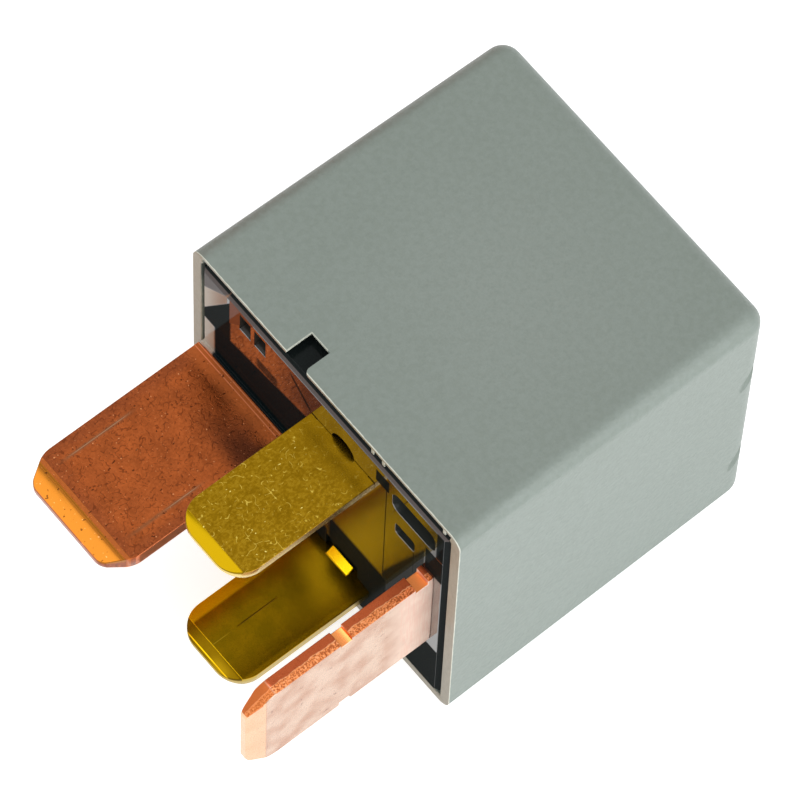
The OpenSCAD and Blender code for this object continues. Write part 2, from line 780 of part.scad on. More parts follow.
// The leaf spring: riveted to the yoke's outer side, bent round the hinge edge on two side
// legs, and riveted to the armature, past which it carries the moving contact.
module contact_spring() {
    color([0.80, 0.56, 0.30]) placed() difference() {
        translate([0, 0, -spring_w / 2]) linear_extrude(spring_w) spring_side();
        opened() translate([hinge_x, plate_top + spring_t + past, 0]) rotate([90, 0, 0])
            linear_extrude(spring_t + 2 * past) spring_cut_outs();
        translate([yoke_x - 2 * spring_t, window_low, -window_w / 2])
            cube([window_end - yoke_x, bend_y - window_low, window_w]);
        for (side = [-1, 1])
            translate([yoke_x - 2 * spring_t, yoke_rivet_y, side * rivet_z])
                rotate([0, 90, 0]) cylinder(d = rivet_d, h = 4 * spring_t);
    }
}

module moving_contact() {
    color([0.80, 0.80, 0.78]) placed() opened()
        translate([contact_x, 0, 0]) rotate([-90, 0, 0]) {
            translate([0, 0, moving_low]) cylinder(d = contact_d, h = contact_t);
            translate([0, 0, plate_top - eps])
                cylinder(d = contact_shank_d, h = spring_t + 2 * eps);
            translate([0, 0, plate_top + spring_t])
                cylinder(d = contact_head_d, h = contact_head_t);
        }
}

cover();
base();
terminal_30();
terminal_87();
terminal_85();
terminal_86();
yoke();
core();
bobbin();
winding();
coil_tape();
coil_lead_start();
coil_lead_finish();
fixed_contact();
back_stop();
yoke_rivets();
resistor_body();
resistor_leads();
armature();
armature_rivets();
contact_spring();
moving_contact();
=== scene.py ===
"""The looks of a plug-in automotive relay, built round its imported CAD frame.

Metres, with +Z up, the blades along -Y and the cover's closed end towards +Y.
"""

import math

import bmesh
import bpy
from mathutils import Euler, Matrix, Vector


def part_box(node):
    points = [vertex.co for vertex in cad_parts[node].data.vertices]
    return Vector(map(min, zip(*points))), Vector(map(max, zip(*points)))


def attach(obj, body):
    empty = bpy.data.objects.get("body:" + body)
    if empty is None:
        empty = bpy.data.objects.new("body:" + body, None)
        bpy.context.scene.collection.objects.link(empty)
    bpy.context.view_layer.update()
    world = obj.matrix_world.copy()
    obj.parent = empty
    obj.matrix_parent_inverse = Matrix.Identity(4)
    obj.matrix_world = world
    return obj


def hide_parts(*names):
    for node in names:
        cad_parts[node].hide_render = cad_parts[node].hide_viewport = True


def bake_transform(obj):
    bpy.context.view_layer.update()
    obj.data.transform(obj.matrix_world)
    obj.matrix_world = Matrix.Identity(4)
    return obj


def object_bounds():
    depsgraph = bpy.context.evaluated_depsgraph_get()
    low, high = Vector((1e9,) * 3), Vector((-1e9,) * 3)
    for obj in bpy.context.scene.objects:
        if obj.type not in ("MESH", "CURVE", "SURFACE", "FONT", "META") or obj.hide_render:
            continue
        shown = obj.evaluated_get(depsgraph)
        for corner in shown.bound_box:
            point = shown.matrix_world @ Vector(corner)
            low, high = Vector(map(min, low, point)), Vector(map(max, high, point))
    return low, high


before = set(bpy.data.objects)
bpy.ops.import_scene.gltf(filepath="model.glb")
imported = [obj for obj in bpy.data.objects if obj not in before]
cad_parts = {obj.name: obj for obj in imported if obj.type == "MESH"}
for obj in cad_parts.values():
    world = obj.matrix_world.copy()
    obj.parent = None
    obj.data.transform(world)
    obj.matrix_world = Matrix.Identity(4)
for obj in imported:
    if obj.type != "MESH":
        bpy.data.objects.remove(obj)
cad_low, cad_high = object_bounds()
bpy.ops.object.select_all(action="DESELECT")


# -------------------------------------------------------------- base plate
# The black moulding that holds the four blades: glossy, with slots, pockets and a chamfered
# outer edge. Matt zones painted on its face were placed for one viewpoint; most are painted
# reflections and painted shade, so they are not features of the part.

MM = 0.001


def tint(red, green, blue):
    """A colour written as a screen shows it, 0 to 255, as the shader's own linear colour."""
    def linear(value):
        value /= 255
        return value / 12.92 if value <= 0.04045 else ((value + 0.055) / 1.055) ** 2.4
    return (linear(red), linear(green), linear(blue), 1)


class Wire:
    """An output in a finish's nodes. Sums written with it become Math nodes."""

    def __init__(self, finish, socket):
        self.finish, self.socket = finish, socket

    def math(self, operation, first, second):
        return self.finish.node("Math", {"operation": operation}, {0: first, 1: second})

    def __add__(self, other):
        return self.math("ADD", self, other)

    def __radd__(self, other):
        return self.math("ADD", other, self)

    def __sub__(self, other):
        return self.math("SUBTRACT", self, other)

    def __rsub__(self, other):
        return self.math("SUBTRACT", other, self)

    def __mul__(self, other):
        return self.math("MULTIPLY", self, other)

    def __rmul__(self, other):
        return self.math("MULTIPLY", other, self)

    def __abs__(self):
        return self.math("ABSOLUTE", self, 0)

    def __or__(self, other):
        return self.math("MAXIMUM", self, other)

    def above(self, edge, soft):
        """0 below the edge, 1 above it, with a soft step between."""
        return self.finish.node("MapRange", {"interpolation_type": "SMOOTHSTEP"},
                                {"Value": self, "From Min": edge - soft,
                                 "From Max": edge + soft})

    def below(self, edge, soft):
        return 1 - self.above(edge, soft)

    def between(self, low, high, soft):
        return self.above(low, soft) * self.below(high, soft)


class Finish:
    """A material made of nodes round one Principled shader."""

    def __init__(self, name, **fixed):
        self.material = bpy.data.materials.new(name)
        self.material.use_nodes = True
        self.tree = self.material.node_tree
        self.shader = self.tree.nodes["Principled BSDF"]
        self.place = self.node("TexCoord", {}, {}, out="Object")
        self.x, self.y, self.z = (
            self.node("SeparateXYZ", {}, {0: self.place}, out=axis) for axis in "XYZ")
        for socket, value in fixed.items():
            self.feed(socket, value)

    def node(self, kind, settings, values, out=0):
        """Adds a node, with its settings first and then its sockets' values or wires."""
        made = self.tree.nodes.new("ShaderNode" + kind)
        for key, value in settings.items():
            setattr(made, key, value)
        for key, value in values.items():
            if isinstance(value, Wire):
                self.tree.links.new(value.socket, made.inputs[key])
            else:
                made.inputs[key].default_value = value
        return Wire(self, made.outputs[out])

    def feed(self, socket, value):
        """Sets one of the shader's sockets, named as base_color for Base Color."""
        name = {"ior": "IOR"}.get(socket, socket.replace("_", " ").title())
        if isinstance(value, Wire):
            self.tree.links.new(value.socket, self.shader.inputs[name])
        else:
            self.shader.inputs[name].default_value = value

    def noise(self, size, detail=2.0, stretch=(1, 1, 1), shift=0.0):
        """Clouds of about that size in metres, from 0 to 1, drawn out along an axis."""
        place = self.node("VectorMath", {"operation": "DIVIDE"},
                          {0: self.place, 1: stretch})
        place = self.node("VectorMath", {"operation": "ADD"},
                          {0: place, 1: (shift, shift, shift)})
        return self.node("TexNoise", {}, {"Vector": place, "Scale": 1 / size,
                                          "Detail": detail})

    def strokes(self, size, width, share, stretch=(1, 1, 1), shift=0.0):
        """Short thin curved marks: the level lines of clouds, kept in a share of places."""
        line = abs(self.noise(size, 0.0, stretch, shift) - 0.5).below(width, width)
        kept = self.noise(size * 0.8, 1.0, (1, 1, 1), shift + 7 * MM)
        return line * kept.above(1 - share, 0.02)

    def mix(self, share, first, second):
        """The first colour turning into the second as the share goes from 0 to 1."""
        return self.node("Mix", {"data_type": "RGBA"}, {0: share, 6: first, 7: second},
                         out=2)

    def bump(self, height, depth):
        """A relief of that depth in metres from a height of 0 to 1."""
        self.feed("normal", self.node("Bump", {}, {"Height": height, "Distance": depth}))

    def on(self, *names):
        """Gives the finish to CAD pieces."""
        for name in names:
            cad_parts[name].data.materials.clear()
            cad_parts[name].data.materials.append(self.material)


def modify(piece, kind, **settings):
    """Adds a modifier to a piece, with its settings, and applies it."""
    bpy.context.view_layer.objects.active = piece
    piece.select_set(True)
    modifier = piece.modifiers.new(kind.lower(), kind)
    for key, value in settings.items():
        setattr(modifier, key, value)
    bpy.ops.object.modifier_apply(modifier=modifier.name)


def pick(test, kind="FACE"):
    """Selects, in edit mode, what passes the test, which gets its middle and itself."""
    mesh = bmesh.from_edit_mesh(bpy.context.edit_object.data)
    bpy.ops.mesh.select_mode(type=kind)
    bpy.ops.mesh.select_all(action="DESELECT")
    for each in {"FACE": mesh.faces, "EDGE": mesh.edges, "VERT": mesh.verts}[kind]:
        corners = [each.co] if kind == "VERT" else [corner.co for corner in each.verts]
        each.select_set(bool(test(sum(corners, Vector()) / len(corners), each)))
    mesh.select_flush_mode()
    bmesh.update_edit_mesh(bpy.context.edit_object.data)


def dress(piece, finish, body, slot, *nodes, angle=35):
    """Shades a piece, gives it its finish, and sets it on its body for its CAD nodes."""
    bpy.context.view_layer.objects.active = piece
    piece.select_set(True)
    bpy.ops.object.shade_smooth_by_angle(angle=math.radians(angle))
    modify(piece, "WEIGHTED_NORMAL", keep_sharp=True)
    piece.data.materials.clear()
    piece.data.materials.append(finish.material)
    if body:
        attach(piece, body)
    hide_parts(*nodes)
    bpy.ops.object.select_all(action="DESELECT")
    return piece


def rounded(node, name, edge, segments=2, corners=None, radius=0.0):
    """Copies a CAD piece, joins its triangles into faces and rounds its sharp edges, and
    the edges that pass a test by more."""
    piece = bpy.data.objects.new(name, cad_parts[node].data.copy())
    piece.data.name = name
    bpy.context.collection.objects.link(piece)
    bpy.context.view_layer.objects.active = piece
    piece.select_set(True)
    bpy.ops.object.mode_set(mode="EDIT")
    bpy.ops.mesh.select_all(action="SELECT")
    bpy.ops.mesh.remove_doubles(threshold=0.0005 * MM)
    bpy.ops.mesh.dissolve_limited(angle_limit=math.radians(0.5))
    if corners:
        pick(corners, "EDGE")
        bpy.ops.mesh.bevel(offset=radius, segments=5)
    bpy.ops.object.mode_set(mode="OBJECT")
    if edge:
        modify(piece, "BEVEL", width=edge, segments=segments, limit_method="ANGLE",
               angle_limit=math.radians(30), use_clamp_overlap=True)
    return piece


face_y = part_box("cover")[0].y - 0.15 * MM
blade_30_low, blade_30_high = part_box("terminal_30")

base_finish = Finish("base_moulding", roughness=0.05, ior=2.4)
streaks = base_finish.noise(0.5 * MM, 2.0, (1, 1, 6))
base_finish.feed("base_color", base_finish.mix(streaks, tint(13, 14, 15), tint(24, 24, 25)))
ripple = base_finish.noise(2.6 * MM, 1.0)
base_finish.bump(ripple, 0.006 * MM)


def zone(low_x, high_x, low_z, high_z, soft=0.12):
    """A rectangle on the face, in millimetres across X and Z."""
    return (base_finish.x.between(low_x * MM, high_x * MM, soft * MM)
            * base_finish.z.between(low_z * MM, high_z * MM, soft * MM))


# Painted dark reflections over blade 30 up to a slanting line, and beside the pockets
slant = base_finish.z - base_finish.x * 0.17
painted_dark_over_30 = (slant.between(13.9 * MM, 20.54 * MM, 0.22 * MM)
           * base_finish.x.between(-10.9 * MM, -0.9 * MM, 0.12 * MM))
corner = (base_finish.z - base_finish.x * 1.75).below(40.5 * MM, 0.1 * MM)
painted_dark_beside_pockets = zone(-12.2, -9.25, 18.3, 24.8) * corner
# Painted shade and painted dark reflections round blades 85 and 86 and beside blade 87.
# Past blade 86 and at the +X end the face is painted dark in place of what it would mirror
# there, and the seams are thin lines.
painted_dark_round_85 = zone(0.8, 7, -2, 9.6, 0.35) | zone(6.6, 13, 0, 7.2) | zone(
    -1.2, 0.9, 3.0, 7.4, 0.3)
painted_dark_past_86 = ((base_finish.z - base_finish.x * 2.6).below(-6.1 * MM, 0.5 * MM)
           * base_finish.x.between(6.3 * MM, 10.25 * MM, 0.1 * MM)) * 0.92
painted_dark_beside_87 = zone(10.25, 13, 17.85, 20.9) | zone(11.25, 13, 20.9, 26)
painted_dark_beside_86 = zone(5.3, 6.6, 22.5, 24.0, 0.05) | zone(1.2, 2.9, 20.9, 22.3, 0.3) * 0.85
painted_dark_at_end = base_finish.x.above(10.3 * MM, 0.9 * MM) * base_finish.z.above(18 * MM, 1 * MM)
seams = zone(6.33, 6.41, 10.2, 22.5, 0.03) | zone(9.16, 9.24, 15, 18, 0.03)
# Two small matt dark marks on the face, one of them a slanting line
dark_marks = zone(-6.6, -4.5, 19.6, 20.8, 0.2) * 0.8 | (
    (base_finish.z + base_finish.x).between(20.35 * MM, 20.85 * MM, 0.08 * MM)
    * base_finish.x.between(-3.2 * MM, -1.2 * MM, 0.15 * MM)) * 0.8
# Painted reflections: pale and grey matt colour at the -X end
painted_grey_reflection = ((base_finish.z - base_finish.x * 0.9).above(33.3 * MM, 0.1 * MM)
        * base_finish.x.below(-9.6 * MM, 0.08 * MM))
painted_pale_reflection = (zone(-14, -9.6, 17, 26, 0.08) * (1 - corner) | zone(-14, -10.9, 14.2, 18.3)
        | base_finish.x.below(-11.95 * MM, 0.05 * MM)) * (1 - painted_grey_reflection) * base_finish.y.below(
            face_y + 0.5 * MM, 0.05 * MM)
on_face = base_finish.y.below(face_y + 0.04 * MM, 0.015 * MM)
# Painted sheen: a grey strip along the top edge just behind the face
painted_sheen_upper_rim = base_finish.z.between(24.4 * MM, 24.66 * MM, 0.02 * MM) * base_finish.y.between(
    face_y + 0.03 * MM, face_y + 0.25 * MM, 0.02 * MM)
# Copper paint in place of the mirror image of blade 30
painted_reflection_of_30 = ((base_finish.z - base_finish.x * 1.3).above(33.5 * MM, 0.1 * MM)
            * base_finish.x.between(-9.36 * MM, -7 * MM, 0.05 * MM))
# All matt places on the face: the painted shade and reflections, the seams and the marks
black = (painted_reflection_of_30 * 0.9 | painted_dark_over_30 | painted_dark_beside_pockets | painted_dark_round_85 | painted_dark_past_86 | painted_dark_beside_87
         | painted_dark_beside_86 | seams | dark_marks | painted_dark_at_end * 0.5)
matt_share = (black | painted_pale_reflection * 0.8 | painted_grey_reflection * 0.8) * on_face | (1 - on_face)
grain = base_finish.noise(0.12 * MM, 2.0)
scratches = base_finish.strokes(0.9 * MM, 0.015, 0.4, (1, 1, 5))
colour = base_finish.mix(grain | scratches, tint(12, 16, 16), tint(28, 34, 33))
# Painted light inside the pockets and grooves
painted_light_in_pockets = zone(-9.0, -5.4, 21.6, 24.1) * (1 - on_face)
painted_light_in_grooves = zone(6.5, 11.4, 17.5, 24.0) * (1 - on_face)
colour = base_finish.mix(painted_light_in_pockets * 0.8, colour, tint(64, 58, 52))
colour = base_finish.mix(painted_light_in_grooves * 0.8, colour, tint(56, 58, 54))
colour = base_finish.mix(painted_dark_over_30 * on_face * 0.6, colour, tint(8, 24, 28))
colour = base_finish.mix(painted_reflection_of_30 * on_face, colour, tint(124, 66, 40))
colour = base_finish.mix(painted_sheen_upper_rim | painted_grey_reflection * on_face, colour, tint(98, 89, 86))
fading = base_finish.x.above(-11.1 * MM, 1.3 * MM)
colour = base_finish.mix(painted_pale_reflection, colour, base_finish.mix(
    fading, tint(212, 200, 184), tint(160, 122, 96)))
matt = Finish.node(base_finish, "BsdfDiffuse", {}, {"Color": colour})
both = base_finish.node("MixShader", {}, {
    0: matt_share * 0.96, 1: Wire(base_finish, base_finish.shader.outputs[0]), 2: matt})
base_finish.tree.links.new(both.socket,
                           base_finish.tree.nodes["Material Output"].inputs["Surface"])
dress(rounded("base", "base_plate", 0.05 * MM), base_finish, "relay_body", "base_plastic",
      "base")


# ---------------------------------------------------------------- blade 30
# The flat power blade, stamped from 1.2 mm copper and coined to a bevel at its tip. It is
# bare and tarnished brown, with rubbed specks and two faint draw lines along its length.

corner_slope = 0.632
blade_30 = Finish("copper_tarnished", metallic=1)
waver = blade_30.noise(0.9 * MM, 2.0) * 0.08 * MM
from_tip_30 = blade_30.y - blade_30_low.y + waver - 0.04 * MM
bevel_30 = blade_30.y.below(blade_30_low.y + 1.4 * MM, 0.01 * MM) * blade_30.z.above(
    blade_30_high.z - 0.36 * MM, 0.01 * MM)
end_30 = blade_30.y.below(blade_30_low.y + 0.06 * MM, 0.02 * MM)
flank_30 = blade_30.x.above(blade_30_high.x - 0.05 * MM, 0.01 * MM) | (
    (blade_30.x - blade_30.y * corner_slope).above(blade_30_high.x - (blade_30_low.y + 1.85 * MM)
                                            * corner_slope, 0.02 * MM))
clouds = blade_30.noise(1.6 * MM, 4.0)
fine = blade_30.noise(0.2 * MM, 3.0)
faint = blade_30.strokes(0.5 * MM, 0.028, 0.5) | blade_30.strokes(
    0.3 * MM, 0.022, 0.48, (1, 1.5, 1), 5 * MM)
pits = blade_30.noise(0.2 * MM, 1.0, (1, 1.6, 1)).above(0.73, 0.02)
flecks = blade_30.noise(0.15 * MM, 0.0, (1, 1, 1), 11 * MM).above(0.8, 0.02)
# The underside is painted bright so that its mirror image in blade 85 gives a painted
# reflection. The strip at the root is painted light, and the dark patch is a painted dark
# reflection of the base.
bright_underside_for_reflection = blade_30.z.below(blade_30_high.z - 1.1 * MM, 0.03 * MM)
painted_light_near_root = blade_30.y.above(face_y - 1.2 * MM, 0.6 * MM)
patches = (blade_30.x.above(-6.6 * MM, 2.4 * MM)
         * (blade_30.y + clouds * 1.4 * MM).between(-8.7 * MM, -6.2 * MM, 0.8 * MM))
border = (blade_30.x.below(-11.35 * MM, 0.5 * MM) | blade_30.x.above(-3.5 * MM, 0.4 * MM)
          | blade_30.y.below(blade_30_low.y + 2.4 * MM, 0.7 * MM))
draw_lines = sum(
    (abs(blade_30.x - place).below(0.12 * MM, 0.12 * MM)
     * blade_30.y.between(first, last, 0.9 * MM)
     for place, first, last in ((-11.0 * MM, -17.6 * MM, -12.2 * MM),
                                (-4.2 * MM, -17.4 * MM, -11.9 * MM))))
draw_cores = sum(
    (abs(blade_30.x - place).below(0.025 * MM, 0.02 * MM)
     * blade_30.y.between(first, last, 0.6 * MM)
     for place, first, last in ((-11.0 * MM, -17.0 * MM, -12.6 * MM),
                                (-4.22 * MM, -14.5 * MM, -12.2 * MM))))
root_lines = sum((abs(blade_30.y - (face_y - reach)).below(0.035 * MM, 0.025 * MM)
                  for reach in (0.3 * MM, 0.58 * MM)))
tip_strip = from_tip_30.between(1.42 * MM, 1.7 * MM, 0.02 * MM)
tip_grooves = sum((abs(from_tip_30 - reach).below(0.02 * MM, 0.02 * MM)
                   for reach in (1.17 * MM, 1.3 * MM, 1.41 * MM, 1.71 * MM)))
colour = blade_30.mix(clouds.above(0.5, 0.22), tint(150, 76, 37), tint(174, 89, 43))
colour = blade_30.mix(border * 0.55, colour, tint(128, 66, 40))
colour = blade_30.mix(fine.above(0.56, 0.14) * 0.3, colour, tint(124, 60, 28))
colour = blade_30.mix(fine.below(0.42, 0.1) * 0.25, colour, tint(192, 104, 56))
colour = blade_30.mix(faint * 0.6, colour, tint(92, 40, 18))
colour = blade_30.mix(patches * 0.8, colour, tint(66, 36, 26))
colour = blade_30.mix(painted_light_near_root * 0.6, colour, tint(204, 112, 58))
colour = blade_30.mix(draw_lines * 0.5, colour, tint(112, 84, 60))
colour = blade_30.mix(draw_cores * 0.7, colour, tint(176, 140, 112))
colour = blade_30.mix(tip_strip * 0.6, colour, tint(192, 106, 50))
colour = blade_30.mix(root_lines, colour, tint(226, 138, 92))
colour = blade_30.mix(flank_30, colour, tint(208, 120, 78))
colour = blade_30.mix(bevel_30, colour, tint(160, 98, 31))
colour = blade_30.mix(tip_grooves * 0.5, colour, tint(136, 70, 28))
colour = blade_30.mix(bright_underside_for_reflection, colour, tint(232, 148, 84))
colour = blade_30.mix(end_30 * 0.8, colour, tint(150, 84, 60))
colour = blade_30.mix(pits * 0.75, colour, tint(70, 30, 14))
colour = blade_30.mix(flecks * 0.6, colour, tint(236, 160, 110))
blade_30.feed("base_color", colour)
blade_30.feed("roughness", 0.16 + fine * (1 - bevel_30) * 0.14 + flank_30 * 0.1
              + painted_light_near_root * 0.3)
blade_30.bump((fine * 0.4 - faint * 0.4 + clouds) * (1 - bevel_30) - pits - draw_cores,
              0.006 * MM)


def stamped_corner(side):
    """Tells the short edges through a power blade's thickness at the corners of its tip."""
    def test(at, edge):
        first, second = (corner.co for corner in edge.verts)
        along = abs(getattr(first - second, side))
        return at.y < blade_30_low.y + 2.0 * MM and along > (first - second).length * 0.99
    return test


dress(rounded("terminal_30", "blade_30", 0.05 * MM, 2, stamped_corner("z"), 0.5 * MM),
      blade_30, "relay_body", "blade_copper", "terminal_30")


# ---------------------------------------------------------------- blade 87
# The power blade that stands on edge, stamped from paler 1.2 mm copper, with its post and
# contact shelf inside. Its upper edge shows the shear: half smooth, half torn and rough.

blade_87_low, blade_87_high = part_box("terminal_87")
blade_87_mid_z = (blade_87_low.z + blade_87_high.z) / 2
half_power_w = 4.75 * MM
edge_z = blade_87_mid_z + half_power_w

blade_87 = Finish("copper_pale", metallic=1)
outside = blade_87.y.below(face_y, 0.05 * MM)
on_edge = blade_87.z.above(edge_z - 0.03 * MM, 0.02 * MM) * outside
chamfer_87 = (blade_87.z - blade_87.y * corner_slope).above(
    edge_z - (blade_87_low.y + 2.2 * MM) * corner_slope, 0.02 * MM)
ragged = blade_87.noise(0.35 * MM, 2.0, (1, 2, 1)) * 0.3 * MM
torn = (blade_87.x + ragged).above(blade_87_high.x - 0.38 * MM, 0.03 * MM)
tear_line = (blade_87.x + ragged).between(blade_87_high.x - 0.42 * MM,
                                          blade_87_high.x - 0.36 * MM, 0.02 * MM)
in_nick = (blade_87.y.between(-12.87 * MM, -11.93 * MM, 0.01 * MM)
           | blade_87.y.between(-6.8 * MM, -5.8 * MM, 0.01 * MM))
deep = blade_87.z.between(edge_z - 1.2 * MM, edge_z - 0.06 * MM, 0.02 * MM)
near_side = blade_87.x.below(blade_87_high.x - 0.05 * MM, 0.01 * MM)
tip_87 = (blade_87.y - blade_87_low.y).below(1.4 * MM, 0.02 * MM)
tip_line = abs(blade_87.y - blade_87_low.y - 1.4 * MM).below(0.03 * MM, 0.02 * MM)
# Painted light: lighter and rougher near the root, where it would mirror the dark base
painted_light_root = blade_87.y.above(-8.3 * MM, 1.3 * MM)
clouds = blade_87.noise(1.9 * MM, 4.0)
fine = blade_87.noise(0.16 * MM, 3.0)
rough = blade_87.noise(0.11 * MM, 3.0)
drawn = blade_87.noise(0.09 * MM, 2.0, (1, 14, 1))
upright = blade_87.noise(0.14 * MM, 2.0, (1, 1, 14)) * blade_87.y.above(-8.6 * MM, 1.2 * MM)
scuffs = blade_87.strokes(0.8 * MM, 0.02, 0.36, (1, 2, 1))
spots = blade_87.noise(0.2 * MM, 0.0).above(0.86, 0.02)
colour = blade_87.mix(clouds.above(0.52, 0.2), tint(208, 178, 156), tint(184, 138, 110))
colour = blade_87.mix(fine.above(0.58, 0.14) * 0.2, colour, tint(214, 168, 144))
colour = blade_87.mix((scuffs | spots) * 0.75, colour, tint(150, 104, 84))
colour = blade_87.mix(painted_light_root * 0.5, colour, tint(255, 236, 224))
colour = blade_87.mix(upright.above(0.5, 0.08) * 0.35, colour, tint(226, 178, 160))
colour = blade_87.mix(tip_87 * 0.7, colour, tint(228, 184, 140))
colour = blade_87.mix(tip_line * 0.6, colour, tint(196, 138, 104))
edge_colour = blade_87.mix(torn, tint(172, 84, 48), tint(232, 142, 84))
edge_colour = blade_87.mix(rough.above(0.53, 0.04) * torn * 0.75, edge_colour,
                           tint(150, 70, 38))
edge_colour = blade_87.mix(rough.below(0.4, 0.04) * torn * 0.6, edge_colour,
                           tint(255, 190, 140))
edge_colour = blade_87.mix(fine.above(0.6, 0.1) * (1 - torn) * 0.4, edge_colour,
                           tint(140, 60, 32))
edge_colour = blade_87.mix(tear_line * 0.6, edge_colour, tint(255, 186, 136))
tip_facet = chamfer_87 * near_side * outside * (1 - on_edge)
edge_colour = blade_87.mix(tip_facet * 0.5, edge_colour, tint(212, 124, 62))
colour = blade_87.mix(on_edge | tip_facet, colour, edge_colour)
colour = blade_87.mix(in_nick * deep * near_side, colour, tint(240, 150, 84))
blade_87.feed("base_color", colour)
blade_87.feed("roughness", 0.22 + fine * 0.1 + on_edge * torn * 0.2 + tip_facet * 0.3
              + painted_light_root * 0.3)
blade_87.bump(drawn * 0.3 + fine * 0.3 - scuffs * 0.6 + on_edge * torn * rough * 4,
              0.006 * MM)
dress(rounded("terminal_87", "blade_87", 0.05 * MM, 2, stamped_corner("x"), 0.5 * MM),
      blade_87, "relay_body", "blade_copper_pale", "terminal_87")


# ------------------------------------------------------- blades 85 and 86
# The coil's two blades, stamped from 0.8 mm brass with round, coined tips. 86 is covered in
# short bright scratches; 85 is smoother, with a catch and one deep scratch.

class Brass(Finish):
    """The finish both brass blades start from, with the place of their bevel and flank."""

    def __init__(self, node, dark, light):
        super().__init__(node.replace("terminal", "brass"), metallic=1)
        self.low, self.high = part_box(node)
        top_z = self.low.z + 0.8 * MM
        clouds = self.noise(1.2 * MM, 4.0)
        self.fine = self.noise(0.13 * MM, 3.0)
        self.colour = self.mix(clouds.above(0.5, 0.22), dark, light)
        self.height = clouds + self.fine * 0.4
        self.bevel = (self.y.below(self.low.y + 0.9 * MM, 0.01 * MM)
                      * self.z.between(top_z - 0.23 * MM, top_z + 0.1 * MM, 0.01 * MM))
        self.flank = self.z.below(top_z - 0.04 * MM, 0.02 * MM) * (1 - self.bevel)

    def paint(self, share, colour):
        """Lays a colour over the finish in a share of its places."""
        self.colour = self.mix(share, self.colour, colour)

    def give(self, node, roughness):
        """Ends the finish and puts it on the blade."""
        self.feed("base_color", self.colour)
        self.feed("roughness", roughness)
        self.bump(self.height * (1 - self.bevel), 0.006 * MM)
        dress(rounded(node, node.replace("terminal", "blade"), 0.05 * MM), self,
              "relay_body", "blade_brass", node)


tumbled = Brass("terminal_86", tint(134, 100, 10), tint(148, 112, 15))
mottle = tumbled.noise(0.17 * MM, 4.0, (1, 1.3, 1))
worked = tumbled.y.below(face_y - 1.6 * MM, 0.9 * MM)
tumbled.paint(mottle.above(0.55, 0.1) * 0.35 * worked, tint(166, 134, 36))
tumbled.paint(mottle.below(0.45, 0.1) * 0.35 * worked, tint(108, 80, 6))
marks = (tumbled.strokes(0.5 * MM, 0.014, 0.4) | tumbled.strokes(
    0.75 * MM, 0.008, 0.4, (1, 1, 1), 3 * MM))
tumbled.paint(marks * (1 - tumbled.bevel) * 0.7 * (0.3 + worked * 0.7), tint(226, 198, 88))
# Painted highlights: bright glinting specks
glints = tumbled.noise(0.14 * MM, 0.0, (1, 2, 1), 9 * MM).above(0.84, 0.02)
tumbled.paint(glints * (1 - tumbled.bevel) * 0.8 * worked, tint(255, 238, 140))
tumbled.paint(tumbled.flank * 0.9, tint(222, 196, 118))
tumbled.paint(tumbled.bevel, tint(140, 112, 6))
tumbled.give("terminal_86", 0.2 + mottle * (1 - tumbled.bevel) * 0.12)

smooth = Brass("terminal_85", tint(118, 92, 4), tint(134, 102, 6))
smooth.paint(smooth.fine.above(0.56, 0.14) * 0.3, tint(98, 76, 4))
# Painted light: lighter towards the root
smooth.paint(smooth.y.above(-9.5 * MM, 2.5 * MM) * 0.6, tint(164, 126, 12))
# Painted reflection of blade 30 in a band along the -X edge, and a painted glow at the tip
# further down
band = smooth.x.below(smooth.low.x + 0.85 * MM, 0.12 * MM) * smooth.y.below(
    -9.0 * MM, 1.6 * MM)
smooth.paint(band * 0.95, tint(196, 180, 12))
deep = (abs(smooth.x - 1.72 * MM).below(0.03 * MM, 0.02 * MM)
        * smooth.y.between(-13.4 * MM, -10.4 * MM, 0.3 * MM))
light = (abs(smooth.x - 1.75 * MM).below(0.02 * MM, 0.02 * MM)
         * smooth.y.between(-16.4 * MM, -14.4 * MM, 0.4 * MM))
smooth.paint(deep * 0.85, tint(62, 42, 4))
smooth.paint(light * 0.6, tint(180, 150, 40))
far_edge = smooth.x.above(smooth.high.x - 0.35 * MM, 0.12 * MM)
smooth.paint(far_edge * 0.6, tint(176, 140, 14))
tip_edges = sum((abs(smooth.y - smooth.low.y - reach).below(0.035 * MM, 0.025 * MM)
                 for reach in (0.22 * MM, 0.9 * MM)))
smooth.paint(smooth.bevel * 0.9, tint(88, 66, 3))
smooth.paint(tip_edges * smooth.bevel, tint(200, 160, 16))
painted_glow_tip_corner = smooth.x.between(smooth.high.x - 2.6 * MM, smooth.high.x - 1.2 * MM,
                              0.5 * MM) * smooth.y.below(smooth.low.y + 0.6 * MM, 0.3 * MM)
smooth.paint(painted_glow_tip_corner * 0.5, tint(132, 104, 10))
smooth.paint(smooth.flank * 0.7, tint(186, 162, 80))
# Painted highlight on the raised catch
painted_highlight_catch = smooth.z.above(smooth.low.z + 0.83 * MM, 0.01 * MM)
smooth.paint(painted_highlight_catch, tint(214, 178, 16))
smooth.height = smooth.height - deep * 3
smooth.give("terminal_85", 0.16 + smooth.fine * 0.1)


# ------------------------------------------------------------ magnet frame
# The yoke is bent from 1.6 mm soft iron, and the core is turned and riveted in it. Both are
# plated against rust, and the plating shows the strip's rolling lines.

iron = Finish("plated_iron", metallic=1)
rolled = iron.noise(0.08 * MM, 2.0, (1, 1, 16))
cast = iron.noise(2.0 * MM, 3.0)
iron.feed("base_color", iron.mix(cast.above(0.5, 0.2), tint(150, 152, 160),
                                 tint(172, 172, 174)))
iron.feed("roughness", 0.28 + rolled * 0.2)
iron.bump(rolled, 0.004 * MM)
dress(rounded("yoke", "yoke_frame", 0.08 * MM), iron, "relay_body", "relay_iron", "yoke")

